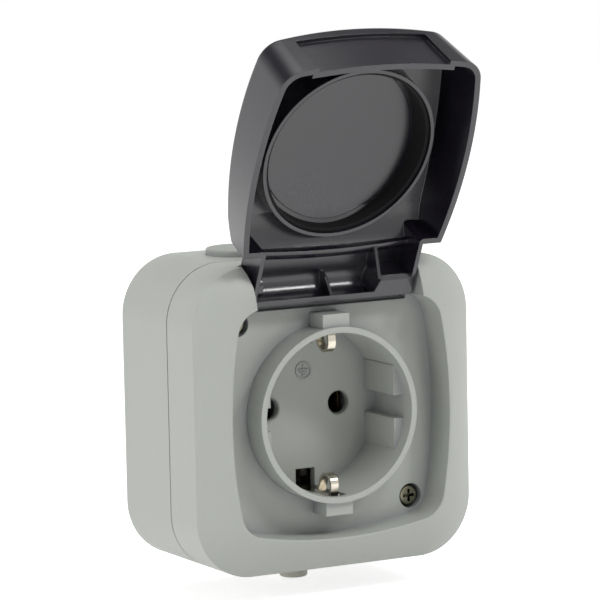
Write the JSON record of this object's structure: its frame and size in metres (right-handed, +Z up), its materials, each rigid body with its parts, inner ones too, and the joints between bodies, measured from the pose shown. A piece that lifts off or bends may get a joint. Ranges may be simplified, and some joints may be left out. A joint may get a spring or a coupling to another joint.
{
  "type": "outdoor weatherproof socket",
  "caption": "Surface-mounted weatherproof socket outlet with a round recessed two-pin socket, side earth clips and a hinged lid standing open.",
  "frame": {"origin": "centre of the back face, midway between the two wall slots", "axes": "+Y into the wall, so the socket faces -Y; +Z up; +X to the right of someone who faces the socket"},
  "size_m": [0.0728, 0.0643, 0.1329],
  "materials": {
    "housing": "satin moulded thermoplastic, light grey",
    "lid": "semi-gloss moulded thermoplastic, black",
    "seal": "matt rubber",
    "grommet": "soft off-white rubber",
    "plug": "satin plastic, grey",
    "carrier": "matt heat-resistant plastic, off-white",
    "contact_brass": "stamped brass",
    "earth_metal": "nickel-plated spring strip",
    "spring_steel": "bright spring steel",
    "zinc_steel": "zinc-plated steel, slightly yellow"
  },
  "bodies": {
    "housing": {"back_box": "housing", "front_cover": "housing", "cup_insert": "housing", "cover_gasket": "seal", "cover_screws": "zinc_steel", "hinge_pin_left": "zinc_steel", "hinge_pin_right": "zinc_steel", "cable_grommet": "grommet", "blanking_plug": "plug", "contact_carrier": "carrier", "carrier_screws": "zinc_steel", "live_contact": "contact_brass", "neutral_contact": "contact_brass", "live_contact_spring": "spring_steel", "neutral_contact_spring": "spring_steel", "earth_bracket": "earth_metal", "clamp_plates": "zinc_steel", "terminal_screws": "zinc_steel", "terminal_nuts": "zinc_steel"},
    "lid": {"lid": "lid", "lid_seal": "seal"}
  },
  "joints": [
    {"name": "lid_hinge", "type": "hinge", "parent": "housing", "child": "lid", "pos_m": [0, -0.0361, 0.0315], "axis": [1, 0, 0], "range_deg": [0, 154.3]}
  ]
}
